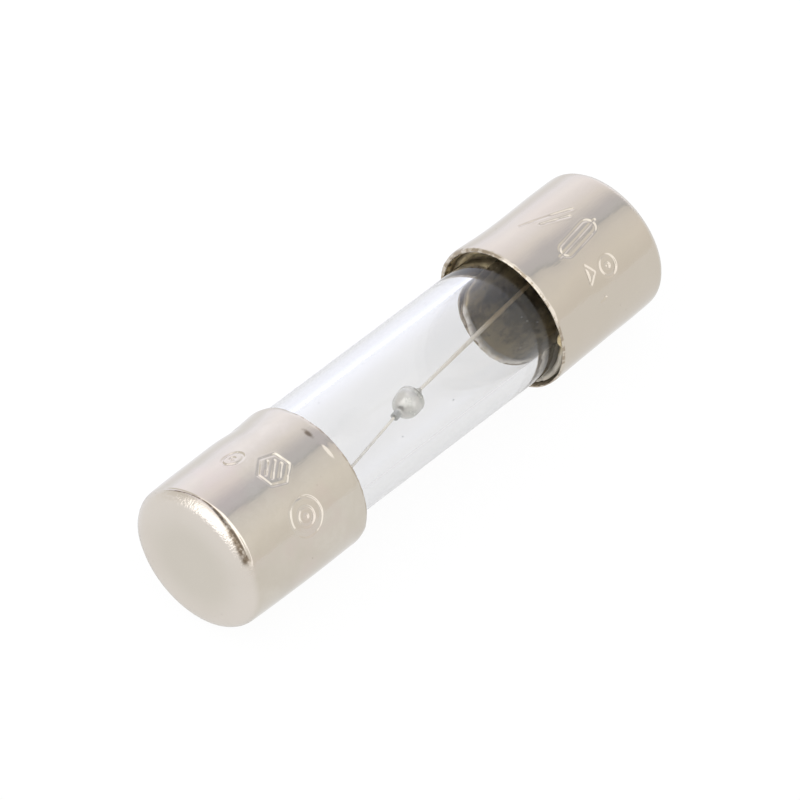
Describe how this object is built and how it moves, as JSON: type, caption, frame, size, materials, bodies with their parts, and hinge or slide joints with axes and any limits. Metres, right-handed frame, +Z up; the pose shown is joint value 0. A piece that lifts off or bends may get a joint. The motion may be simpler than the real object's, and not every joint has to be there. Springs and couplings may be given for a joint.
{
  "type": "cartridge fuse",
  "caption": "Glass tube cartridge fuse with two plated metal end caps and a beaded fuse wire, breaks a circuit on overload.",
  "frame": {"origin": "middle of the fuse's axis, halfway between the two closed end faces", "axes": "+X along the fuse's axis from the near cap to the far cap, +Z up, the fuse lying on its side"},
  "size_m": [0.02, 0.0052, 0.0052],
  "materials": {
    "clear_glass": "gloss",
    "nickel_plated_brass": "satin",
    "solder": "satin",
    "cement": "satin",
    "silvered_copper": "satin",
    "tin": "satin"
  },
  "bodies": {
    "root": {"glass_tube": "clear_glass", "end_cap_near": "nickel_plated_brass", "end_cap_far": "nickel_plated_brass", "solder_near": "solder", "solder_far": "solder", "cement_ring_near": "cement", "cement_ring_far": "cement", "fuse_wire": "silvered_copper", "tin_bead": "tin"}
  },
  "joints": []
}
